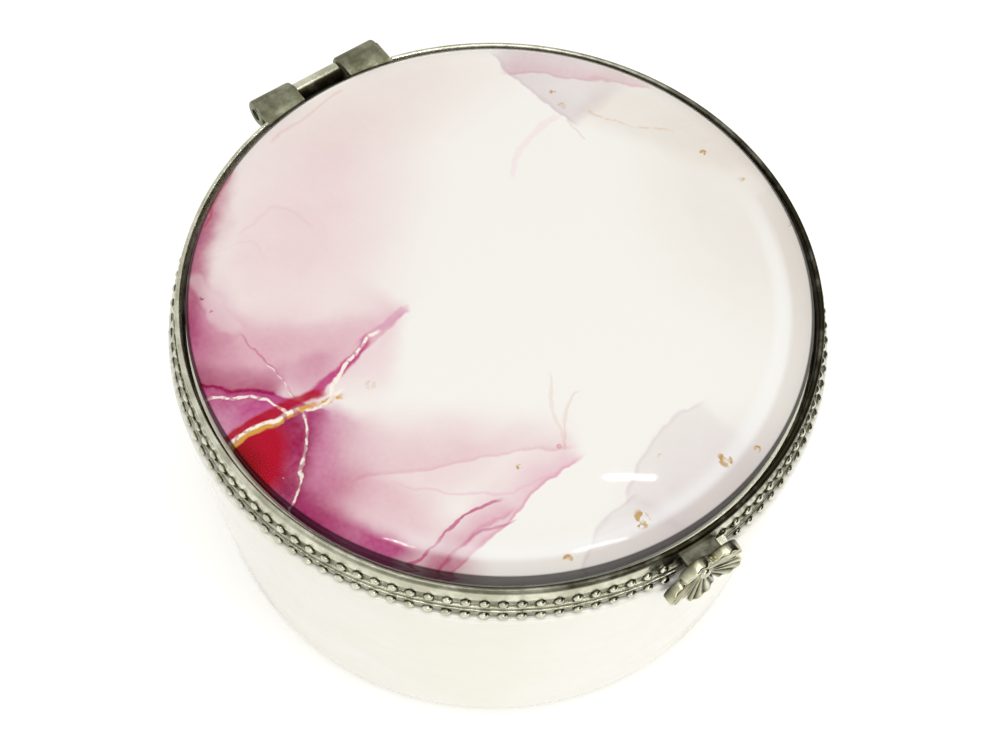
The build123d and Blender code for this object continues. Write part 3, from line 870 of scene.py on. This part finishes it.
def tube(outer, inner, start, end, roundness, around):
    # a tube along X: its section is turned about the hinge's axis, with rounded outer ends
    section = roundedOutline([
        (start, inner, 0), (start, outer, roundness), (end, outer, roundness), (end, inner, 0)], 6)
    angles = np.linspace(0, 2 * pi, around, endpoint=False)
    points = np.stack((section[:, :1] + 0 * angles, reach["hinge"] + section[:, 1:] * np.cos(angles),
                       level["hinge"] + section[:, 1:] * np.sin(angles)), -1)
    return points.reshape(-1, 3), gridFaces(len(section), around, True, True)


def slab(x, innerY, outerY, low, high):
    # a flat bar across the stations x, from innerY(x) out to outerY, with its four long edges eased
    ease = 0.08
    inner = innerY + 0 * x
    outer = outerY + 0 * x
    loop = [(inner, low + ease), (inner + ease, low), (outer - ease, low), (outer, low + ease),
            (outer, high - ease), (outer - ease, high), (inner + ease, high), (inner, high - ease)]
    points = np.stack([np.stack((x, y, z + 0 * x), -1) for y, z in loop])
    return points.reshape(-1, 3), endedFaces(len(loop), len(x))


def makeHinge(s):
    half, start = s["length"] / 2, s["middle"] / 2 + s["gap"]
    leafTop = level["hinge"] + s["barrel"]
    windowHalf = s["middle"] / 2 + s["window"]
    parts = []
    for side in (-1, 1):
        ends = sorted((side * start, side * half))
        parts.append(tube(s["barrel"], s["bore"], ends[0], ends[1], s["endRound"], 48))
        x = np.linspace(*sorted((side * (windowHalf + 0.02), side * half)), 14)
        inner = np.sqrt(lidRingShape["bore"] ** 2 - x ** 2)
        parts.append(slab(x, inner, reach["hinge"], leafTop - s["leaf"], leafTop))
    points, faces = joined(*parts)
    makePiece("lidHingeLeaf", points, faces, hingeNickel, "lid", ["lid_hinge_leaf"], "aged_nickel", 50.0,
              s["tarnish"])
    low = level["hinge"] - s["barrel"] - s["clearance"]
    x = np.linspace(-s["baseLeaf"] / 2, s["baseLeaf"] / 2, 14)
    foot = slab(x, np.sqrt(reach["baseRing"] ** 2 - x ** 2), reach["baseRing"] + s["footReach"],
                bowlShape["shoulder"], low)
    x = np.linspace(-s["middle"] / 2, s["middle"] / 2, 8)
    neck = slab(x, np.sqrt(reach["baseRing"] ** 2 - x ** 2), reach["hinge"], bowlShape["shoulder"],
                level["hinge"] - s["bore"] - 0.1)
    knuckle = tube(s["rod"], s["rodBore"], -s["middle"] / 2, s["middle"] / 2, s["rodRound"], 48)
    points, faces = joined(foot, neck, knuckle)
    # painted shade: the foot, the neck and the middle knuckle's inner side are painted black, for the shade
    # under the hinge and in the window behind it
    inward = unit((reach["hinge"] - 0.25 - knuckle[0][:, 1]) / 0.2)
    darkening = np.concatenate((np.ones(len(foot[0]) + len(neck[0])), np.maximum(s["rodTarnish"], inward)))
    makePiece("bowlHingeLeaf", points, faces, nickel, "box", ["base_hinge_leaf"], "aged_nickel", 50.0, darkening)
    end, radius = halfWidth("hinge_pin"), (top("hinge_pin") - bottom("hinge_pin")) / 2
    makePiece("hingePin", *tube(radius, 0.0, -end, end, s["rodRound"], 32), pinSteel, "box", ["hinge_pin"],
              "pin_steel")


makeHinge(hingeShape)
print("hinge made")


flowerShape = {
    "height": 33.2,
    "reach": 32.4,
    "turn": 3.0,
    "petals": 5,
    "firstPetal": 48.0,
    "centre": 2.55,
    "radius": 1.63,
    "middle": 0.45,
    "lift": 0.75,
    "ribs": 4,
    "ribDepth": 0.2,
    "ribSpan": 0.92,  # the share of a petal that its grooves take up
    "ribFade": (0.9, 0.5),  # mm over which they fade in from the middle, and out to the tip
    "seam": 0.35,
    "seamWidth": 0.07,
    "seamFade": 1.2,
    "edge": 0.22,
    "boss": 0.6,
    "bossHeight": 0.4,
}


def atClasp(points, s):
    # (right, up, out) on the clasp's own plane to the box's frame: it faces -Y, then turns about Z
    x, y = turned(points[..., 0], -s["reach"] - points[..., 2], radians(s["turn"]))
    return np.stack((x, y, s["height"] + points[..., 1]), -1)


def makeFlower(s):
    # the edge at each angle is the far side of that petal's circle; the face rises from the middle to the
    # edge, less a cosine for the grooves and a dip at each seam, and rolls over to a flat back
    around, steps = 360, 30
    angle = np.linspace(0, 2 * pi, around, endpoint=False)
    sector = 2 * pi / s["petals"]
    off = (angle - radians(s["firstPetal"]) + sector / 2) % sector - sector / 2
    within = s["radius"] ** 2 - (s["centre"] * np.sin(off)) ** 2
    edge = s["centre"] * np.cos(off) + np.sqrt(np.maximum(within, 0))
    tip = s["centre"] + s["radius"]
    share = np.linspace(0, 1, steps)[:, None]
    distance = share * (edge - s["edge"])[None, :]
    rise = s["middle"] + s["lift"] * unit((distance - s["boss"]) / (tip - s["boss"]))
    fade = unit((distance - s["boss"]) / s["ribFade"][0]) * unit((tip - distance) / s["ribFade"][1])
    ribs = s["ribDepth"] * 0.5 * (1 - np.cos(off * s["ribs"] * 2 * pi / (sector * s["ribSpan"]))) * fade
    seam = np.exp(-((sector / 2 - np.abs(off)) / s["seamWidth"]) ** 2) * unit(distance / s["seamFade"])
    seam *= s["seam"]
    face = rise - ribs - seam
    roll = np.linspace(0, pi / 2, 6)[1:, None]
    rimHeight = face[-1] - s["edge"]
    rolled = (edge - s["edge"]) + s["edge"] * np.sin(roll), rimHeight + s["edge"] * np.cos(roll)
    radial = np.concatenate((distance, rolled[0], edge[None, :], 0 * edge[None, :]))
    height = np.concatenate((face, rolled[1], 0 * edge[None, :], 0 * edge[None, :]))
    points = np.stack((radial * np.cos(angle), radial * np.sin(angle), height), -1)
    # the grooves, the seams and the middle are darkened, partly tarnish in the relief and partly painted
    # shade between the petals; the flat back is painted black as shade
    darkening = unit(ribs / s["ribDepth"] * 1.1 - 0.1 + seam / s["seam"] + 0.5 * (1 - distance / tip) ** 2)
    darkening = np.concatenate((darkening, np.zeros_like(rolled[0]), np.ones((2, around))))
    faces = gridFaces(len(radial), around, False, True)
    makePiece("claspFlower", atClasp(points, s), faces, flowerNickel, "lid", ["clasp_flower"], "aged_nickel",
              60.0, darkening)


rivetShape = {"around": 24, "shank": 0.33, "tail": 0.45, "tip": 0.25, "tailStart": -0.4, "tailEnd": -0.6}


def makeRivet(s, flower):
    # a low dome: radius * sin(u) across and height * cos(u) out, on a straight shank with a snap at its tail
    angle = np.linspace(0, 2 * pi, s["around"], endpoint=False)
    u = np.linspace(0, pi / 2, 7)
    across = np.append(flower["boss"] * np.sin(u), [s["shank"], s["shank"], s["tail"], s["tip"], 0.0])
    out = np.append(flower["middle"] + flower["bossHeight"] * np.cos(u),
                    [flower["middle"], s["tailStart"], s["tailStart"], s["tailEnd"], s["tailEnd"]])
    across, out = across[:, None], out[:, None]
    points = np.stack((across * np.cos(angle), across * np.sin(angle), out + 0 * angle), -1)
    faces = gridFaces(len(across), s["around"], False, True)
    makePiece("claspRivet", atClasp(points, flower), faces, nickel, "lid", ["clasp_rivet"], "aged_nickel",
              50.0)


tabShape = {
    "left": -1.6,
    "right": 2.0,
    "thickness": 0.4,
    "top": 35.2,
    "foot": 32.55,
    "inner": 30.9,
    "cornerRound": 0.05,
    "bendRound": 0.35,
    "ease": 0.06,
    # painted shade: this share darkens the strip behind the flower almost to black, and foldTarnish darkens
    # its folded end, which stands clear of the flower, only a little
    "tarnish": 0.95,
    "foldWidth": 0.8,  # the strip's right end is folded over on itself
    "foldOut": 0.35,
    "foldUp": 0.25,
    "foldBack": 1.1,
    "foldDeep": 1.0,
    "foldTarnish": 0.25,
}


def makeTab(s, flower):
    # a strip whose side view is an L with a round outer bend, carried across its width, and then its fold
    out, top = flower["reach"], s["top"]
    back, below, corner = out - s["thickness"], top - s["thickness"], s["cornerRound"]
    side = roundedOutline([
        (s["inner"], below, 0), (back, below, corner), (back, s["foot"], corner), (out, s["foot"], corner),
        (out, top, s["bendRound"]), (s["inner"], top, 0)], 6)
    front, deepest, highest = out + s["foldOut"], top - s["foldDeep"], top + s["foldUp"]
    fold = roundedOutline([
        (out - s["foldBack"], top, 0), (out - 0.2, deepest, 0.1), (front, deepest, 0.15),
        (front, highest, 0.3), (out - s["foldBack"], highest, 0.1)], 6)
    shells = []
    for outline, left, width in ((side, s["left"], s["right"] - s["left"]),
                                 (fold, s["right"] - 0.1, s["foldWidth"] + 0.1)):
        x = np.linspace(left, left + width, 6)
        points = np.stack((x[None, :] + 0 * outline[:, :1], outline[:, 1:] - flower["height"] + 0 * x,
                           outline[:, :1] - out + 0 * x), -1)
        shells.append((atClasp(points, flower).reshape(-1, 3), endedFaces(len(outline), len(x))))
    points, faces = joined(*shells)
    # painted shade on the strip behind the flower, much less on its fold
    darkening = np.append(np.full(len(shells[0][0]), s["tarnish"]), np.full(len(shells[1][0]), s["foldTarnish"]))
    piece = makePiece("claspTab", points, faces, nickel, "lid", ["clasp_tab"], "aged_nickel", 50.0, darkening)
    eased = piece.modifiers.new("eased", "BEVEL")
    eased.width = s["ease"] * mm
    eased.segments = 2
    eased.limit_method = "ANGLE"


makeFlower(flowerShape)
makeRivet(rivetShape, flowerShape)
makeTab(tabShape, flowerShape)
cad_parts["catch_lug"].data.materials.clear()
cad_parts["catch_lug"].data.materials.append(nickel)
print("clasp made")


# places and sizes here are in metres
studio = {
    "floor": "#f6f5f2",
    "floorSize": 3.0,
    "floorHeight": -0.00002,
    "floorGlow": 0.26,  # what the white sheet gains on its way to the camera's white
    "sky": 0.55,  # how strongly the pale room lights the object
    "card": "#35322b",
    "cardFoot": 0.1,
    "cardTop": 1.2,
    "cards": (("darkCardFront", (-0.9, -1.1), (0.5, -1.1)), ("darkCardSide", (0.5, -1.1), (1.1, 0.3))),
    "aim": (0, 0, 0.03),
}


def stageObject(name, corners, material):
    # one flat face with its corners in metres
    mesh = bpy.data.meshes.new(name)
    mesh.from_pydata(corners, [], [tuple(range(len(corners)))])
    mesh.materials.append(material)
    placed(name, mesh)


def seenRay(tree, hidden, seen):
    # one strength for what the camera, a reflection or a look through the glass shows, and another for light
    share = anyRay(tree, 0.0, "Is Camera Ray", "Is Glossy Ray", "Is Transmission Ray")
    return add(tree, "MapRange", {0: share, 3: hidden, 4: seen})


def makeStudio(s):
    # a sheet of white paper, which takes the object's shadow
    material, tree = newMaterial("paperSweep")[:2]
    paper = add(tree, "BsdfDiffuse", {"Color": linear(s["floor"])})
    lift = add(tree, "Emission", {"Color": (1, 1, 1, 1), "Strength": seenRay(tree, 0.0, s["floorGlow"])})
    add(tree, "OutputMaterial", {0: add(tree, "AddShader", {0: paper, 1: lift})})
    size = s["floorSize"]
    corners = (-size, -size), (size, -size), (size, size), (-size, size)
    stageObject("floor", [(*corner, s["floorHeight"]) for corner in corners], material)
    # dark cards in front and on the right, seen only in the polish of the metal and the glass
    material, tree = newMaterial("darkCard")[:2]
    dark = add(tree, "BsdfDiffuse", {"Color": linear(s["card"])})
    unseen = add(tree, "BsdfTransparent", {"Color": (1, 1, 1, 1)})
    glossy = add(tree, "LightPath", out="Is Glossy Ray")
    add(tree, "OutputMaterial", {0: add(tree, "MixShader", {0: glossy, 1: unseen, 2: dark})})
    foot, top = s["cardFoot"], s["cardTop"]
    for name, left, right in s["cards"]:
        stageObject(name, [(*left, foot), (*right, foot), (*right, top), (*left, top)], material)
    # the room is white to look at, also in a reflection or through the glass, and soft as a light
    world = bpy.data.worlds.new("studio")
    world.use_nodes = True
    bpy.context.scene.world = world
    tree = world.node_tree
    tree.nodes.clear()
    back = add(tree, "Background", {"Color": (1, 1, 1, 1), "Strength": seenRay(tree, s["sky"], 1.0)})
    add(tree, "OutputWorld", {0: back})


def softLamp(name, place, size, power):
    # a square or oblong of light that faces the box
    data = bpy.data.lights.new(name, "AREA")
    data.shape = "RECTANGLE"
    data.size, data.size_y = size
    data.energy = power
    lamp = placed(name, data)
    lamp.location = place
    lamp.rotation_mode = "QUATERNION"
    lamp.rotation_quaternion = (Vector(studio["aim"]) - Vector(place)).to_track_quat("-Z", "Y")
    return lamp


def thinLamp(name, start, end, width, power):
    # a short bright tube whose only work is a glint in the glass
    start, end = Vector(start), Vector(end)
    lamp = softLamp(name, (start + end) / 2, ((end - start).length, width), power)
    back = (lamp.location - Vector(studio["aim"])).normalized()
    along = (end - start).normalized()
    side = back.cross(along).normalized()
    lamp.rotation_quaternion = Matrix((side.cross(back), side, back)).transposed().to_quaternion()


makeStudio(studio)
softLamp("ceilingLamp", (0.0, -0.05, 0.75), (0.45, 0.3), 1.5)
softLamp("sideLamp", (-0.22, -0.5, 0.28), (0.3, 0.3), 0.72)
thinLamp("flatGlint", (0.1954, 0.1445, 0.5779), (0.2165, 0.1279, 0.5753), 0.0012, 0.05)
thinLamp("rightGlint", (-0.0046, -0.2639, 0.5881), (0.0890, -0.2892, 0.5687), 0.002, 0.24)
thinLamp("leftGlint", (-0.2678, -0.0408, 0.5849), (-0.2353, -0.0916, 0.5933), 0.002, 0.15)
bpy.context.scene.view_settings.view_transform = "Standard"
print("studio lit")
